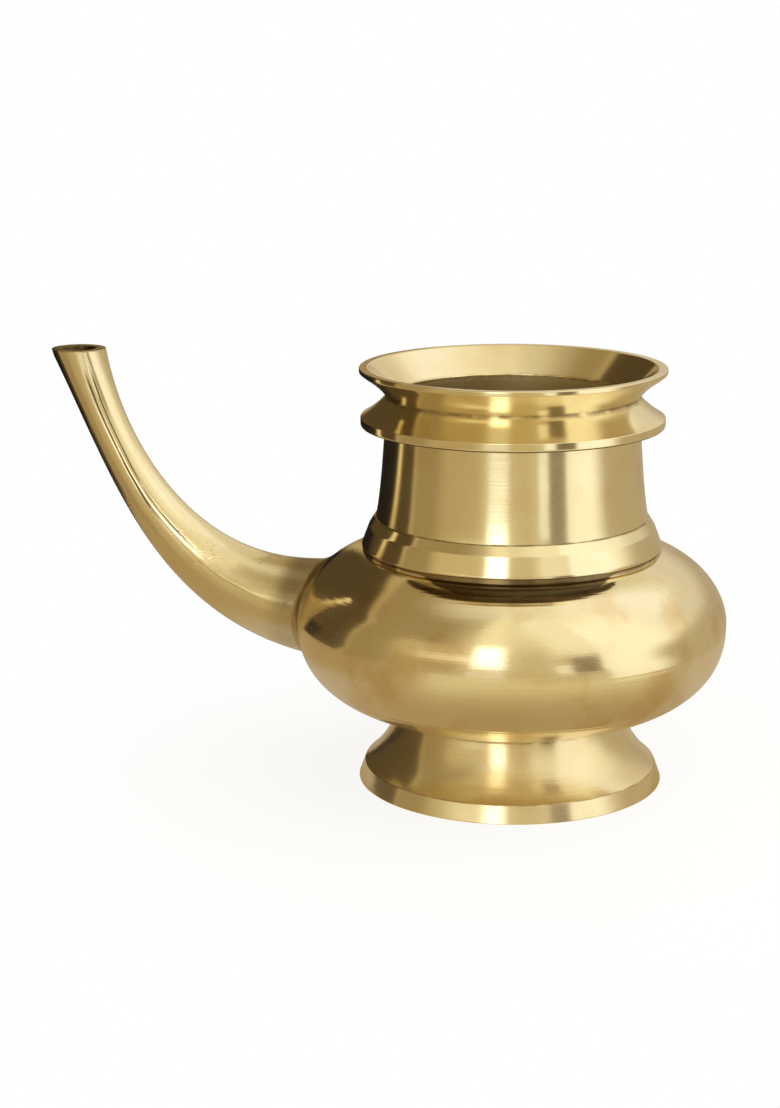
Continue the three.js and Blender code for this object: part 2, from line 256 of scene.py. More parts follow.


# brass turned on a lathe and polished by hand: noise over (r, z) makes the tool's rings, slow noise in
# space makes the hand's waviness and smudges, thin bands of stretched noise make hairlines, and the creases
# at given heights and the faces that look inwards keep their dull metal; painted shade darkens faces that
# look down and the front under the collar
def turnedPaint(name, finish):
    finish = {**plainFinish, **finish}
    material, g = newMaterial(name)
    place = g.fromAxis()
    x, y, z = g.split(place)
    r = (x * x + y * y) ** 0.5
    front = (x * cameraSide[0] + y * cameraSide[1]) / r
    rings = g.add("CombineXYZ", {}, {"X": r, "Y": z})
    lines, fine = g.noise(rings, finish["lineGap"], 2), g.noise(rings, polish["fineGap"], 2)
    waves, smudge = g.noise(place, finish["waveGap"], 1), g.noise(place, polish["smudgeGap"], 5)
    hairs = g.noise(place, polish["hairGap"], 2, polish["hairTurn"]).near(0.5, polish["hairWidth"])
    hairs = hairs * smudge.between(0.45, 0.62)
    normal = g.add("NewGeometry", {}, {}, "Normal")
    outwards = g.add("CombineXYZ", {}, {"X": x, "Y": y})
    facing = g.add("VectorMath", {"operation": "DOT_PRODUCT"}, {0: normal, 1: outwards}) / r
    inside = facing.between(0, -0.3) * z.between(finish["insideBelow"] + 1, finish["insideBelow"])
    creases = 0 * z
    for height, reach in finish["creases"]:
        creases = creases.math("MAXIMUM", z.near(height, reach))
    grime = creases * g.noise(place, polish["grimeGap"], 3).between(0.3, 0.6)
    colour = g.blend(smudge.between(0.38, 0.64), brassColour["bright"], brassColour["rubbed"])
    warm = g.noise(place, polish["warmGap"], 4).between(0.48, 0.66) * finish["warm"]  # old handling
    colour = g.blend(warm, colour, brassColour["warm"])
    shadedAndTarnished = 0 * z
    if "under" in finish:  # painted shade: faces that look down between two heights are darkened
        low, high = finish["under"]
        down = g.split(normal)[2].between(-0.3, -0.6)
        shadedAndTarnished = down * z.between(low - 0.3, low) * z.between(high + 0.3, high)
    if "paintedShade" in finish:  # painted shade: darker in front, down from a height under the collar
        paintedShade = finish["paintedShade"]
        edge = (g.noise(place, paintedShade["edgeGap"], 4) - 0.5) * paintedShade["edge"]
        lifted = z + front.between(*paintedShade["front"]) * paintedShade["depth"] + edge
        shadedAndTarnished = lifted.between(paintedShade["top"], paintedShade["top"] + paintedShade["fade"]) * paintedShade["share"]
    # the painted shade takes the tarnish colour
    colour = g.blend(shadedAndTarnished, colour, brassColour["tarnishAndShade"])
    dull = (inside * polish["insideDull"]).math("MAXIMUM", grime * polish["grimeDull"])
    dull = dull.math("MAXIMUM", finish["agedAndPaintedDark"])
    haze = (0.8 + 0.4 * g.noise(place, polish["hazeGap"], 3)) * finish["haze"]
    haze = haze * (1 - 0.8 * z.between(*finish["hazeTop"]))
    haze = haze + front.between(0.5, 0.75) * smudge.between(0.3, 0.6) * finish["handled"]
    rough = (finish["rough"] + (smudge - 0.5) * polish["smudgeRough"] + (fine - 0.5) * polish["fineRough"]
             + hairs * polish["hairRough"] + inside * polish["insideRough"] + grime * polish["grimeRough"]
             + shadedAndTarnished * polish["paintedShadeRough"] + polish["softRough"] * z.between(*finish["softBelow"]))
    height = (lines * finish["lineDepth"] + fine * polish["fineDepth"] + waves * finish["waveDepth"]
              - hairs * polish["hairDepth"])
    coatBrass(g, colour, dull, rough, height, haze)
    return material


def turnedBrass(name, node, outline, material):
    return finishPiece(newObject(gridMesh(name, swing(outline))), node, material)


fillerPaint = turnedPaint("fillerPaint", {
    "rough": 0.24, "lineGap": 1.1, "lineDepth": 0.01, "waveGap": 5, "waveDepth": 0.03, "haze": 0.1,
    "agedAndPaintedDark": 0.6, "insideBelow": 125, "creases": []})


def turnedFiller(name, node, outline):
    return finishPiece(newObject(gridMesh(name, swing(outline))), node, fillerPaint)


# the belly is a superellipse above and below its widest circle, round a flat middle:
# ((r - flat) / reach)^power + (height / rise)^power = 1, taken in by an inset for its inside
belly = {
    "height": 50.2, "wall": 2.5,
    "lower": {"flat": 21, "rise": -28.4, "power": 2.4},
    "upper": {"flat": 38.5, "rise": 22.35, "power": 1.87},
    "finish": {"rough": 0.085, "lineGap": 1.0, "lineDepth": 0.045, "waveGap": 24, "waveDepth": 0.06,
               "haze": 0.24, "hazeTop": (60, 67), "softBelow": (62, 54), "warm": 0.65, "insideBelow": 75,
               # the dark band under the collar, deepest in front, is painted shade
               "creases": [(72.4, 0.9)], "paintedShade": {"top": 72.2, "depth": 2.9, "front": (0.74, 0.97),
                                                   "fade": 0.35, "edgeGap": 4, "edge": 0.9, "share": 0.92}},
}
bellyPaint = turnedPaint("bellyPaint", belly["finish"])


# the outline between two heights
def bellyRun(part, fromHeight, toHeight, steps, inset=0):
    flat, rise, power = belly[part].values()
    rise = rise - math.copysign(inset, rise)
    shares = [min(1, abs((height - belly["height"]) / rise)) for height in (fromHeight, toHeight)]
    angle = np.linspace(*[math.asin(share ** (power / 2)) for share in shares], steps + 1)
    r = flat + (upperNode["radius"] - flat - inset) * np.cos(angle).clip(0) ** (2 / power)
    return np.stack([r, belly["height"] + rise * np.sin(angle) ** (2 / power)], -1)


# the formula solved for the radius
def bellyRadius(height):
    def half(part):
        flat, rise, power = belly[part].values()
        share = np.abs((height - belly["height"]) / rise).clip(0, 1)
        return flat + (upperNode["radius"] - flat) * (1 - share ** power) ** (1 / power)
    return np.where(height < belly["height"], half("lower"), half("upper"))


# the formula solved for the height
def bellyHeight(part, radius):
    flat, rise, power = belly[part].values()
    share = (radius - flat) / (upperNode["radius"] - flat)
    return belly["height"] + rise * (1 - share ** power) ** (1 / power)


# foot: a plain band under a flare that sweeps out from a steep top, hollow underneath
foot = {
    "rim": 3.6, "bandLean": 1.9, "bandHeight": 5.2, "pulls": [(40.4, 8.5), (36.8, 13.6)], "seat": 34.2,
    "seatDepth": 2.3, "spigot": 29, "filler": 1.8,
    "hollowLean": 0.8, "hollowHeight": 3.2, "hollowPull": (35, 10),
    "finish": {"rough": 0.10, "lineGap": 1.0, "lineDepth": 0.02, "waveGap": 11, "waveDepth": 0.07,
               "haze": 0.28, "insideBelow": 30, "creases": [(21, 0.8), (5.2, 0.25)]},
}
footRadius, footTop = footNode["radius"], footNode["top"]
spigotEnd = footTop - foot["seatDepth"]
rimInside = footRadius - foot["rim"]
bandTop = (footRadius - foot["bandLean"], foot["bandHeight"])
flare = bend(44, bandTop, *foot["pulls"], (foot["seat"], footTop))
hollow = bend(24, (foot["spigot"], spigotEnd - foot["filler"]), foot["hollowPull"],
              (rimInside - foot["hollowLean"], foot["hollowHeight"]))
turnedBrass("footFlare", "foot", outlineOf(
    ((rimInside, 0), 0.4), ((footRadius, 0), 0.35), (flare[0], 0.3), (flare[1:], 0),
    ((foot["spigot"], footTop), 0), (hollow, 0)), turnedPaint("footPaint", foot["finish"]))
turnedFiller("footFiller", "foot_braze", outlineOf(
    ((foot["spigot"], spigotEnd), 0),
    (bend(8, (foot["spigot"] - foot["filler"], spigotEnd), (foot["spigot"], spigotEnd),
          (foot["spigot"], spigotEnd - foot["filler"])), 0)))

# lower bowl: the floor and the lower belly, with a ring that enters the foot and a lap at its top
joint = {"height": 31, "lap": 2, "bead": 0.8, "groove": 0.9, "spigotInside": 26}
bowlFloor = belly["height"] + belly["lower"]["rise"]
jointRadius = float(bellyRadius(np.array(joint["height"])))
lapRadius = jointRadius - belly["wall"] / 2
grooveApex = (jointRadius - joint["groove"], joint["height"])
lapTop = joint["height"] + joint["lap"]
beadLow, beadHigh = joint["height"] - joint["bead"], joint["height"] + joint["bead"]
seatHeight = bellyHeight("lower", foot["seat"])
turnedBrass("lowerBowl", "lower_bowl", outlineOf(
    ((0, bowlFloor), 0), ((joint["spigotInside"], bowlFloor), 0.4),
    ((joint["spigotInside"], spigotEnd), 0.3), ((foot["spigot"], spigotEnd), 0),
    ((foot["spigot"], footTop), 0), ((foot["seat"], footTop), 0),
    (bellyRun("lower", seatHeight, beadLow, 34), 0), (grooveApex, 0), ((lapRadius, joint["height"]), 0),
    ((lapRadius, lapTop), 0), (bellyRun("lower", lapTop, bowlFloor + belly["wall"], 36, belly["wall"]), 0),
    ((0, bowlFloor + belly["wall"]), 0)), bellyPaint)
bead = turnedFiller("bellyFiller", "belly_braze",
                    outlineOf((bellyRun("lower", beadLow, beadHigh, 6), 0), (grooveApex, 0)))
bead.data.materials[0] = bellyPaint  # dressed flush and polished with the bowls

# upper bowl: the widest part and the shoulder, with a small step up to the collar's seat
shoulder = {"stepIn": 0.5, "stepLean": 0.3, "bore": 38}
collarBottom, collarRadius = collarNode["bottom"], collarNode["radius"]
stepRadius = collarRadius - shoulder["stepIn"]
stepLow = bellyHeight("upper", stepRadius)
innerTop = belly["height"] + belly["upper"]["rise"] - belly["wall"]
upperOutline = outlineOf(
    ((lapRadius, lapTop), 0), ((lapRadius, joint["height"]), 0), (grooveApex, 0),
    (bellyRun("lower", beadHigh, belly["height"], 36), 0),
    (bellyRun("upper", belly["height"], stepLow, 64)[1:], 0),
    ((stepRadius - shoulder["stepLean"], collarBottom), 0),
    ((shoulder["bore"], collarBottom), 0), ((shoulder["bore"], innerTop), 0.3),
    (bellyRun("upper", innerTop, belly["height"], 40, belly["wall"]), 0),
    (bellyRun("lower", belly["height"], lapTop, 12, belly["wall"])[1:], 0))

# collar: a leaning band under a steeper bevel
collar = {
    "crease": (43, 6.3), "top": 41.2, "neck": 39.6, "edge": 0.1, "filler": 1.2, "fillerPull": 0.4,
    "finish": {"rough": 0.065, "lineGap": 0.9, "lineDepth": 0.003, "waveGap": 16, "waveDepth": 0.025,
               "haze": 0.05, "insideBelow": 90, "creases": [(82, 0.35)]},
}
neckBottom = collarNode["top"]
turnedBrass("shoulderCollar", "shoulder_collar", outlineOf(
    ((collar["neck"] + collar["filler"], collarBottom), 0),
    ((collarRadius - collar["edge"], collarBottom), 0.9),
    ((collar["crease"][0], collarBottom + collar["crease"][1]), 0.25), ((collar["top"], neckBottom), 0.25),
    ((collar["neck"], neckBottom), 0), ((collar["neck"], collarBottom + collar["filler"]), 0)),
    turnedPaint("collarPaint", collar["finish"]))
turnedFiller("collarFiller", "collar_braze", outlineOf(
    ((collar["neck"], collarBottom), 0),
    (bend(6, (collar["neck"] + collar["filler"], collarBottom),
          (collar["neck"] + collar["fillerPull"], collarBottom + collar["fillerPull"]),
          (collar["neck"], collarBottom + collar["filler"])), 0)))

# neck: a tapering sleeve
neck = {
    "skirt": 40.9, "pull": (39.4, 6.8), "top": 38.2, "spigot": 38, "bore": (36.2, 35.2),
    "filler": 1.6, "fillerPull": 0.4,
    "finish": {"rough": 0.085, "lineGap": 1.0, "lineDepth": 0.018, "waveGap": 13, "waveDepth": 0.07,
               "haze": 0.04, "handled": 0.22, "insideBelow": 110, "creases": [(82, 0.5), (109, 0.6)]},
}
mouthFit = {"spigot": 36.6, "depth": 3, "filler": 0.9}
neckTop, neckEnd = neckNode["top"], neckNode["bottom"]
mouthEnd = neckTop - mouthFit["depth"]
sleeve = bend(48, (neck["skirt"], neckBottom), (neck["pull"][0], neckBottom + neck["pull"][1]),
              (neck["top"], neckTop))
turnedBrass("neckSleeve", "neck", outlineOf(
    ((neck["bore"][0], neckEnd), 0.4), ((neck["spigot"], neckEnd), 0.2),
    ((neck["spigot"], collarBottom), 0), ((collar["neck"], collarBottom), 0),
    ((collar["neck"], neckBottom), 0), (sleeve[0], 0.2), (sleeve[1:], 0),
    ((mouthFit["spigot"], neckTop), 0), ((mouthFit["spigot"], mouthEnd), 0),
    ((neck["bore"][1], mouthEnd), 0)), turnedPaint("neckPaint", neck["finish"]))
turnedFiller("neckFiller", "neck_braze", outlineOf(
    ((neck["spigot"], innerTop), 0), ((neck["spigot"], neckEnd), 0),
    (bend(8, (neck["spigot"] - neck["filler"], neckEnd),
          (neck["spigot"] - neck["fillerPull"], neckEnd + neck["fillerPull"]),
          (neck["spigot"], innerTop)), 0)))

# mouth: a flange, a narrow throat and a flared lip, with one sharp edge inside where the bore begins
mouth = {
    "throat": (37.8, 8.6), "flange": (0.4, 0.6, 2.6), "flangePull": (4.2, 2.3), "flarePull": (1.6, 3),
    "flareTop": (1.1, 2.2), "lip": 1.3, "lipWidth": 2.6, "edge": 0.5, "bore": 35.2,
    "finish": {"rough": 0.075, "lineGap": 0.8, "lineDepth": 0.004, "waveGap": 14, "waveDepth": 0.03,
               # the flange's underside is darkened with painted shade
               "haze": 0.05, "insideBelow": 118, "under": (108, 110.6), "creases": [(118.4, 1.2)]},
}
mouthTop, mouthRadius = mouthNode["top"], mouthNode["radius"]
throat = (mouth["throat"][0], mouthTop - mouth["throat"][1])
flangeRadius, flangeLow = mouthRadius - mouth["flange"][0], neckTop + mouth["flange"][1]
flangeHigh = flangeLow + mouth["flange"][2]
flangeRun = bend(20, (flangeRadius, flangeHigh),
                 (flangeRadius - mouth["flangePull"][0], flangeHigh + mouth["flangePull"][1]), throat)
flareRun = bend(24, throat, (throat[0] + mouth["flarePull"][0], throat[1] + mouth["flarePull"][1]),
                (mouthRadius - mouth["flareTop"][0], mouthTop - mouth["flareTop"][1]))
turnedBrass("mouthRing", "mouth_ring", outlineOf(
    ((mouthFit["spigot"], mouthEnd + mouthFit["filler"]), 0), ((mouthFit["spigot"], neckTop), 0),
    ((neck["top"], neckTop), 0), ((flangeRadius, flangeLow), 0.9),
    (flangeRun[0], 0.3), (flangeRun[1:-1], 0),
    (flareRun[0], 0.2), (flareRun[1:-1], 0), (flareRun[-1], 0.2),
    ((mouthRadius, mouthTop - mouth["lip"]), 0.2), ((mouthRadius, mouthTop), 0.8),
    ((mouthRadius - mouth["lipWidth"], mouthTop), 0.4),
    ((mouth["bore"], throat[1] + mouth["edge"]), 0.25), ((mouth["bore"], mouthEnd), 0),
    ((mouthFit["spigot"] - mouthFit["filler"], mouthEnd), 0)), turnedPaint("mouthPaint", mouth["finish"]))
turnedFiller("mouthFiller", "mouth_braze", outlineOf(
    ((mouthFit["spigot"] - mouthFit["filler"], mouthEnd), 0), ((mouthFit["spigot"], mouthEnd), 0),
    ((mouthFit["spigot"], mouthEnd + mouthFit["filler"]), 0)))

# spout: a round section carried along a cubic Bezier from the tip to the root, in the plane of the axis
spout = {
    "line": [(-137, 128), (-117.8, 65.5), (-87.3, 51.7), (-61, 49.7)],
    "radii": (8.2, 6.55, 10.05, 15), "bores": (4.9, 4.1, 6.6, 9.9),  # at the tip, each third, and the root
    "spigotWall": 1.5, "fillet": 2.2, "filletSink": 0.6, "sink": 1.2, "rimEdge": 0.5,
    # shares of the line: where the tip and the root are looked for, and how far the hole for the spigot runs
    "tipRange": (-0.2, 0.2), "rootRange": (0.8, 1.2), "hole": (0.86, 1.12), "holeGap": 0.3,
    "finish": {
        "rough": 0.12, "haze": 0.45, "hazeGap": (3, 0.9, 0.9), "smudgeGap": (30, 9, 9), "smudgeRough": 0.08,
        "streakGap": (40, 3, 3), "streakDepth": 0.10, "streakRough": 0.10, "waveGap": 10, "waveDepth": 0.12,
        "fineGap": (3, 0.4, 0.4), "fineDepth": 0.002, "fineRough": 0.06,
        "fileGap": (5, 0.8, 0.8), "fileTurn": (0, 52, 0), "fileDepth": 0.08, "fileRough": 0.08,
        "bore": (5.8, 5.2), "boreRough": 0.2, "cutDull": 0.45, "cutRough": 0.15,
        # the sine of the turn round the tube, with a half width, and where along it a line runs out
        "ridge": (-0.41, 0.09), "ridgeHeight": 0.007, "twist": 0.22, "wanderGap": 22, "wander": 0.12,
        "scribed": [(-0.31, 0.09, (62, 52)), (-0.53, 0.05, (80, 66))],
        "scribedGap": (9, 1, 1), "scribedDepth": 0.03,
        # painted dark reflection on the turn and along the line at the tip, and painted shade back from the
        # root's end
        "tipDarkReflection": (0.42, 0.62), "tipEnd": (52, 40), "mottleGap": (12, 4, 4), "rootShade": (15, 7),
        "paintedDarkShare": 0.85,
    },
}
linePoints = bend(fineness["lineSteps"], *spout["line"])
lineSteps = np.linalg.norm(np.diff(linePoints, axis=0), axis=1)
lineLength = lineSteps.sum()
lineShare = np.concatenate([[0], np.cumsum(lineSteps)]) / lineLength
lineTangent = np.gradient(linePoints, lineShare, axis=0)
lineTangent /= np.linalg.norm(lineTangent, axis=1, keepdims=True)
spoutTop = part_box("spout")[1].z / mm


# the cubic through four values at the tip, the thirds and the root, level past the ends
def alongSpout(values, share):
    tip, third, twoThirds, root = values
    s = 3 * np.clip(share, 0, 1)
    return (tip * (1 - s) * (2 - s) * (3 - s) + 3 * third * s * (2 - s) * (3 - s)
            + 3 * twoThirds * s * (s - 1) * (3 - s) + root * s * (s - 1) * (s - 2)) / 6


# the point at an angle on the section square to the line, which runs on straight past its ends
def onSpout(share, angle, radius):
    inside = np.clip(share, 0, 1)
    x, z = (np.interp(inside, lineShare, linePoints[:, i]) for i in (0, 1))
    tx, tz = (np.interp(inside, lineShare, lineTangent[:, i]) for i in (0, 1))
    past = (share - inside) * lineLength
    up = radius * np.sin(angle)
    return np.stack([axisX + x + tx * past + tz * up, radius * np.cos(angle), z + tz * past - tx * up], -1)


# the outside and the inside: the radius at that share of the line, and a lift off it
def spoutSkin(share, angle, lift=0):
    return onSpout(share, angle, alongSpout(spout["radii"], share) + lift)


def spoutBore(share, angle, lift=0):
    return onSpout(share, angle, alongSpout(spout["bores"], share) + lift)


# halving finds, for all angles at once, the share where a test turns from false to true
def turningShare(test, ends, angle):
    low, high = (np.full(angle.shape, end) for end in ends)
    for _ in range(40):
        middle = (low + high) / 2
        past = test(middle)
        low, high = np.where(past, low, middle), np.where(past, middle, high)
    return low


# the share where a line along the spout's outside comes nearer to the turned axis than the belly's radius
def meetBelly(angle, lift=0):
    def isInside(share):
        p = spoutSkin(share, angle, lift)
        return np.hypot(p[..., 0] - axisX, p[..., 1]) < bellyRadius(p[..., 2])
    return turningShare(isInside, spout["rootRange"], angle)


# filed and rubbed along its length: streaks and short slanting file marks in the straightened tube's own
# place, which is the distance along the line, the distance across, and the height over the line, in mm
def spoutPaint(name, finish):
    material, g = newMaterial(name)
    straight = g.add("Attribute", {"attribute_name": "straightened"}, {}, "Vector")
    along, across, over = g.split(straight)
    streaks, fine = g.noise(straight, finish["streakGap"], 3), g.noise(straight, finish["fineGap"], 2)
    waves, smudge = g.noise(straight, finish["waveGap"], 1), g.noise(straight, finish["smudgeGap"], 4)
    filed = smudge.between(0.48, 0.62) * along.between(40, 70)
    marks = g.noise(straight, finish["fileGap"], 1, finish["fileTurn"]).between(0.55, 0.72) * filed
    away = (across * across + over * over) ** 0.5
    bored = away.between(*finish["bore"])
    cut = g.split(g.fromAxis())[2].between(spoutTop - 0.5, spoutTop - 0.2)
    # on the handled side a burnished ridge runs the whole way, with two scribed lines beside it near the tip
    turn, shows = over / away - along / lineLength * finish["twist"], across.between(0, -1)
    wander = (g.noise(straight, finish["wanderGap"], 2) - 0.5) * finish["wander"]
    ridge = (turn + wander).near(*finish["ridge"]) * shows * along.between(lineLength - 10, lineLength - 30)
    scribed = 0 * along
    for place, width, end in finish["scribed"]:
        scribed = scribed.math("MAXIMUM", (turn + wander).near(place, width) * along.between(*end))
    worn = g.noise(straight, finish["scribedGap"], 2).between(0.28, 0.42)
    scribed = scribed * shows * along.between(5, 12) * worn
    # a painted dark reflection along the outer side of the tip, and painted shade round the root, most of it
    # above
    mottle = g.noise(straight, finish["mottleGap"], 3).between(0.15, 0.6)
    atTip = turn.between(*finish["tipDarkReflection"]) * across.between(3, -2) * along.between(*finish["tipEnd"])
    fromRoot = lineLength - along
    atRoot = fromRoot.between(*finish["rootShade"]) * (0.3 + 0.4 * over.between(3, -5))
    agedAndPaintedDark = (atTip * mottle).math("MAXIMUM", atRoot) * finish["paintedDarkShare"]
    shadedAndTarnished = bored.math("MAXIMUM", scribed).math("MAXIMUM", agedAndPaintedDark)
    colour = g.blend(smudge.between(0.36, 0.66), brassColour["bright"], brassColour["rubbed"])
    # tarnish in the bore and the scribed lines, with the painted dark reflection and painted shade, takes
    # the tarnish colour
    colour = g.blend(shadedAndTarnished, colour, brassColour["tarnishAndShade"])
    haze = (0.5 + g.noise(straight, finish["hazeGap"], 3)) * finish["haze"] * (1 - ridge)
    rough = (finish["rough"] + (streaks - 0.5) * finish["streakRough"]
             + (smudge - 0.5) * finish["smudgeRough"] + (fine - 0.5) * finish["fineRough"]
             + marks * finish["fileRough"] + bored * finish["boreRough"] + cut * finish["cutRough"])
    height = (streaks * finish["streakDepth"] + fine * finish["fineDepth"] + waves * finish["waveDepth"]
              - marks * finish["fileDepth"] + ridge * away * finish["ridgeHeight"]
              - scribed * finish["scribedDepth"])
    coatBrass(g, colour, cut * finish["cutDull"], rough, height, haze)
    return material


around = np.linspace(0, 2 * math.pi, fineness["spoutSides"], endpoint=False)
tipShare = turningShare(lambda s: spoutSkin(s, around)[..., 2] < spoutTop, spout["tipRange"], around)
boreTipShare = turningShare(lambda s: spoutBore(s, around)[..., 2] < spoutTop, spout["tipRange"], around)
rootShare = meetBelly(around) + spout["sink"] / lineLength
up = np.linspace(0, 1, fineness["spoutRows"])[:, None]
wallRows = spoutSkin(rootShare + (tipShare - rootShare) * up, around)
boreRows = spoutBore(boreTipShare + (1 - boreTipShare) * up, around)
spigotRows = np.stack([spoutBore(np.ones_like(around), around, spout["spigotWall"]),
                       spoutBore(rootShare, around, spout["spigotWall"])])
spoutRows = np.concatenate([spigotRows, wallRows, boreRows])
rowEase = np.zeros(len(spoutRows))
rowEase[[1 + len(wallRows), 2 + len(wallRows)]] = spout["rimEdge"]
tube = gridMesh("spoutTube", easeCorners(spoutRows, rowEase))


# each point's place in the straightened tube: its nearest point on the line gives how far along it is,
# and the offset from there, square to the line, how far over
def straighten(mesh):
    points = np.empty(len(mesh.vertices) * 3)
    mesh.vertices.foreach_get("co", points)
    x, y, z = (points.reshape(-1, 3) / mm - (axisX, 0, 0)).T
    skip = fineness["lineSkip"]
    coarse = linePoints[::skip]
    nearest = ((x[:, None] - coarse[:, 0]) ** 2 + (z[:, None] - coarse[:, 1]) ** 2).argmin(1) * skip
    (dx, dz), (tx, tz) = np.stack([x, z]) - linePoints[nearest].T, lineTangent[nearest].T
    along = lineShare[nearest] * lineLength + dx * tx + dz * tz
    layer = mesh.attributes.new("straightened", "FLOAT_VECTOR", "POINT")
    layer.data.foreach_set("vector", np.stack([along, y, dx * tz - dz * tx], -1).ravel())


straighten(tube)
finishPiece(newObject(tube), "spout", spoutPaint("spoutPaint", spout["finish"]))

# the filler round the root: a hollow curve from the spout's skin down to the belly
share = np.linspace(0, 1, fineness["filletRows"])[:, None]
lift, back = spout["fillet"] * share ** 2, spout["fillet"] * (1 - share) ** 2
filletTop = spoutSkin(meetBelly(around + 0 * lift, lift + 0 * around) - back / lineLength, around, lift)
sunk = spout["filletSink"]
filletUnder = spoutSkin((meetBelly(around, -sunk) + sunk / lineLength)[None], around, -sunk)
finishPiece(newObject(gridMesh("spoutFillet", np.concatenate([filletUnder, filletTop[::-1]]))),
            "spout_braze", fillerPaint)

# the upper bowl is bored for the spout's spigot
holeShare = np.linspace(*spout["hole"], 8)[:, None]
borer = spoutBore(holeShare + 0 * around, around, spout["spigotWall"] + spout["holeGap"])
borerEnds = [np.broadcast_to(borer[i].mean(0), borer[i].shape) for i in (0, -1)]
borer = newObject(gridMesh("spoutBorer", np.concatenate([borerEnds[:1], borer, borerEnds[1:]])[::-1]))
bowl = newObject(gridMesh("upperBowl", swing(upperOutline)))
boring = bowl.modifiers.new("spoutHole", "BOOLEAN")
boring.object, boring.operation, boring.solver = borer, "DIFFERENCE", "EXACT"
bored = bpy.data.meshes.new_from_object(bowl.evaluated_get(bpy.context.evaluated_depsgraph_get()))
bowl.modifiers.clear()
bowl.data = bored
bpy.data.objects.remove(borer)
finishPiece(bowl, "upper_bowl", bellyPaint)

# camera: the fitted viewing angle, as a place from the turned axis, in mm, on axes turned about it,
# so that the spout points a little away
view = {"place": (-36.7, -676, 234), "turn": 14, "down": 13.65, "roll": 0.2,
        "focalPixels": 2300, "imageHeight": 1108}
cameraData = bpy.data.cameras.new("viewCamera")
camera = bpy.data.objects.new("viewCamera", cameraData)
bpy.context.scene.collection.objects.link(camera)
cameraData.sensor_width = 36
cameraData.lens = cameraData.sensor_width * view["focalPixels"] / view["imageHeight"]
turned = Matrix.Translation((axisX * mm, 0, 0)) @ Matrix.Rotation(math.radians(view["turn"]), 4, "Z")
place = Matrix.Translation([c * mm for c in view["place"]])
tilt = Matrix.Rotation(math.radians(90 - view["down"]), 4, "X")
camera.matrix_world = turned @ place @ tilt @ Matrix.Rotation(math.radians(-view["roll"]), 4, "Z")
bpy.context.scene.camera = camera

bpy.context.scene.view_settings.view_transform = "Standard"

# studio: a light tent round the pot, which the camera looks through; its sheets are placed by azimuth,
# 0 towards the camera's side and growing to the right, and by elevation, seen from the belly
tent = {"radius": 1200, "eyeHeight": 55, "lift": 0.1, "lowest": -1, "rows": 46, "cloth": (1.03, 0.97, 0.76)}
sheets = [  # from and to azimuth, from and to elevation, softness of its sides and of its ends, colour
    {"across": (-400, 400), "up": (76, 100), "soft": (1, 14), "colour": (0.90, 0.82, 0.64)},  # crown
    {"across": (-46, 6), "up": (40, 76), "soft": (30, 16), "colour": (0.84, 0.755, 0.475)},
    {"across": (85, 146), "up": (28, 74), "soft": (30, 20), "colour": (1.08, 1.05, 0.96)},
    {"across": (140, 215), "up": (28, 78), "soft": (30, 20), "colour": (0.76, 0.68, 0.48)},
    {"across": (-215, -28), "up": (-40, 74), "soft": (50, 34), "colour": (0.355, 0.265, 0.13)},  # left
    {"across": (-66, -25), "up": (-40, 30), "soft": (16, 24), "colour": (0.50, 0.39, 0.20)},
    {"across": (-66, -25), "up": (10, 32), "soft": (16, 14), "colour": (0.62, 0.50, 0.27)},
    {"across": (-27, 18), "up": (-40, 40), "soft": (14, 40), "colour": (0.60, 0.49, 0.27)},  # middle
    {"across": (14, 45), "up": (-40, 20), "soft": (10, 26), "colour": (0.62, 0.54, 0.36)},
    {"across": (104, 215), "up": (0, 32), "soft": (24, 16), "colour": (0.76, 0.69, 0.55)},  # right
    {"across": (94, 215), "up": (-40, 12), "soft": (24, 18), "colour": (0.47, 0.39, 0.27)},
    # the tent's open end, with a hem round it
    {"across": (-172, -93), "up": (-45, 50), "soft": (2, 3), "colour": (0.50, 0.39, 0.19), "arch": 14},
    {"across": (-169, -97), "up": (-45, 46), "soft": (3, 3), "colour": (0.085, 0.058, 0.026), "arch": 14},
    {"across": (-171, -120), "up": (-45, 2), "soft": (3, 4), "colour": (0.015, 0.012, 0.01)},
    # the wide window and its sill, then the narrow window with the cloth round it
    {"across": (43.5, 85), "up": (-40, 62), "soft": (3, 26), "colour": (1.22, 1.2, 1.08), "fade": 22},
    {"across": (76, 130), "up": (-40, 10), "soft": (20, 14), "colour": (0.50, 0.41, 0.26)},
    {"across": (-50, -18), "up": (11, 20), "soft": (24, 8), "colour": (1.0, 0.92, 0.68)},
    {"across": (-24, -5), "up": (30, 76), "soft": (16, 30), "colour": (1.04, 0.95, 0.67)},
    {"across": (-23, -6), "up": (-27, 8), "soft": (5, 8), "colour": (0.90, 0.86, 0.72)},
    {"across": (-22, -7), "up": (3, 36), "soft": (7, 12), "colour": (2.6, 2.55, 2.4)},
    {"across": (19.5, 28), "up": (-10, 8), "soft": (1.5, 3), "colour": (1.15, 1.13, 1.0)},
    {"across": (28, 43), "up": (-9, 18), "soft": (1.5, 5), "colour": (0.20, 0.15, 0.08)},  # dark gap
]
board = {
    "radius": 225, "shift": -45, "lift": 0.2, "colour": (0.44, 0.325, 0.17),
    "patches": [  # from and to azimuth, from and to distance in mm, softness of its sides and ends, colour
        {"across": (-175, -72), "up": (60, 125), "soft": (30, 50), "colour": (0.52, 0.44, 0.33)},
        {"across": (-45, 66), "up": (125, 400), "soft": (30, 120), "colour": (0.76, 0.66, 0.41)},
        {"across": (76, 175), "up": (70, 210), "soft": (24, 50), "colour": (0.56, 0.47, 0.34)},
    ],
}


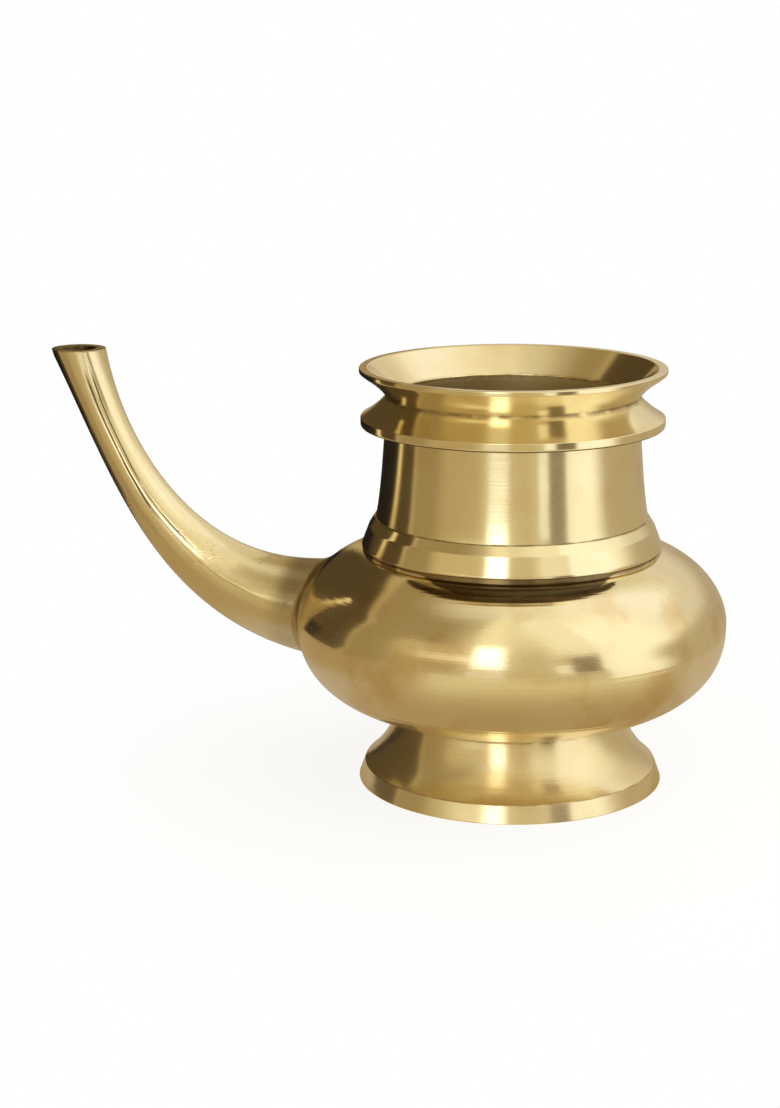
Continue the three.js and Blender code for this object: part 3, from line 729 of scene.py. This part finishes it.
# sheets are laid over a colour one after the other, by azimuth and by a second measure: 1 within both
# ranges, easing to 0 over their softness; an arched top sinks with the square of the way from its middle
def laySheets(g, colour, sheets, azimuth, measure):
    for sheet in sheets:
        (left, right), (low, high), (sideways, upright) = sheet["across"], sheet["up"], sheet["soft"]
        fade = sheet.get("fade", sideways)
        top = measure
        if "arch" in sheet:
            top = measure + sheet["arch"] * ((azimuth - (left + right) / 2) / ((right - left) / 2)) ** 2
        mask = (azimuth.between(left - sideways / 2, left + sideways / 2)
                * azimuth.between(right + fade / 2, right - fade / 2)
                * measure.between(low - upright / 2, low + upright / 2)
                * top.between(high + upright / 2, high - upright / 2))
        colour = g.blend(mask, colour, sheet["colour"])
    return colour


# light off a sheet: its colour is worked out from the azimuth, the distance from the axis and the height
def glowPaint(name, colourOf):
    material, g = newMaterial(name)
    x, y, z = g.split(g.fromAxis(view["turn"]))
    azimuth = x.math("ARCTAN2", y * -1) * math.degrees(1)
    colour = colourOf(g, azimuth, (x * x + y * y) ** 0.5, z)
    g.add("OutputMaterial", {}, {"Surface": g.add("Emission", {}, {"Color": colour, "Strength": 1})})
    material.cycles.emission_sampling = "NONE"
    return material


def tentLight(g, azimuth, distance, z):
    elevation = (z - tent["eyeHeight"]).math("ARCTAN2", distance) * math.degrees(1)
    return laySheets(g, tent["cloth"], sheets, azimuth, elevation)


def boardLight(g, azimuth, distance, z):
    return laySheets(g, board["colour"], board["patches"], azimuth, distance)


# a sheet swung round the axis from an outline of radius and height, left open at both ends
def swungSheet(name, outline, material, shift, rays):
    turn = math.radians(view["turn"])
    grid = swing(np.array(outline, float)) + (shift * math.cos(turn), shift * math.sin(turn), 0)
    rows, cols = grid.shape[:2]
    index = np.arange(rows * cols).reshape(rows, cols)
    quads = np.stack([index[:-1], np.roll(index[:-1], -1, 1), np.roll(index[1:], -1, 1), index[1:]], -1)
    mesh = bpy.data.meshes.new(name)
    mesh.from_pydata((grid.reshape(-1, 3) * mm).tolist(), [], quads.reshape(-1, 4).tolist())
    mesh.materials.append(material)
    made = newObject(mesh)
    for ray in ("camera", "diffuse", "glossy", "shadow"):
        setattr(made, "visible_" + ray, ray in rays)


tentRadius, eye = tent["radius"], tent["eyeHeight"]
rise = np.radians(np.linspace(tent["lowest"], 90, tent["rows"]))
dome = np.stack([tentRadius * np.cos(rise).clip(1e-6), eye + tentRadius * np.sin(rise)], -1)
tentCloth = glowPaint("tentCloth", tentLight)
swungSheet("tentDome", dome, tentCloth, 0, ("diffuse", "glossy"))
skirt = [(1e-3, tent["lift"]), (tentRadius, tent["lift"]), dome[0]]
swungSheet("tentSkirt", skirt, tentCloth, 0, ("glossy",))
swungSheet("tanBoard", [(1e-3, board["lift"]), (board["radius"], board["lift"])],
           glowPaint("boardPaint", boardLight), board["shift"], ("glossy",))

# floor: pale, white to the camera where nothing shades it
floor = {"half": 8000, "shade": 0.22, "unshaded": 0.62, "fade": (50, 190), "colour": (0.9, 0.9, 0.9)}


# 1 for rays that come from the camera, or from it by way of metal or glass
def seenRays(g):
    rays = [g.add("LightPath", {}, {}, "Is %s Ray" % kind) for kind in ("Camera", "Glossy", "Transmission")]
    return rays[0].math("MAXIMUM", rays[1]).math("MAXIMUM", rays[2])


floorPaint, g = newMaterial("paleFloor")
x, y, z = g.split(g.fromAxis())
white = 1 - floor["shade"] * (x * x + y * y).math("SQRT").between(floor["fade"][1], floor["fade"][0])
paint = g.add("BsdfDiffuse", {}, {"Color": floor["colour"] + (1,)})
level = (1 - (1 - white) * floor["unshaded"]) / white
glow = g.add("Emission", {}, {"Color": g.add("CombineXYZ", {}, dict.fromkeys("XYZ", level)), "Strength": 1})
shared = g.add("MixShader", {}, {0: seenRays(g) * white, 1: paint, 2: glow})
g.add("OutputMaterial", {}, {"Surface": shared})
floorMesh = bpy.data.meshes.new("floor")
corners = np.array([(-1, -1, 0), (1, -1, 0), (1, 1, 0), (-1, 1, 0)]) * floor["half"] * mm
floorMesh.from_pydata(corners.tolist(), [], [(0, 1, 2, 3)])
floorMesh.materials.append(floorPaint)
newObject(floorMesh)

# sky: white where it is seen, and a little less as light
sky = {"light": (0.8, 0.8, 0.8), "seen": (1, 1, 1)}
world = bpy.data.worlds.new("studio")
bpy.context.scene.world = world
world.use_nodes = True
g = Graph(world.node_tree)
skyColour = g.blend(seenRays(g), sky["light"], sky["seen"])
g.add("OutputWorld", {}, {"Surface": g.add("Background", {}, {"Color": skyColour, "Strength": 1})})
print("studio: %d sheets in the tent" % len(sheets))
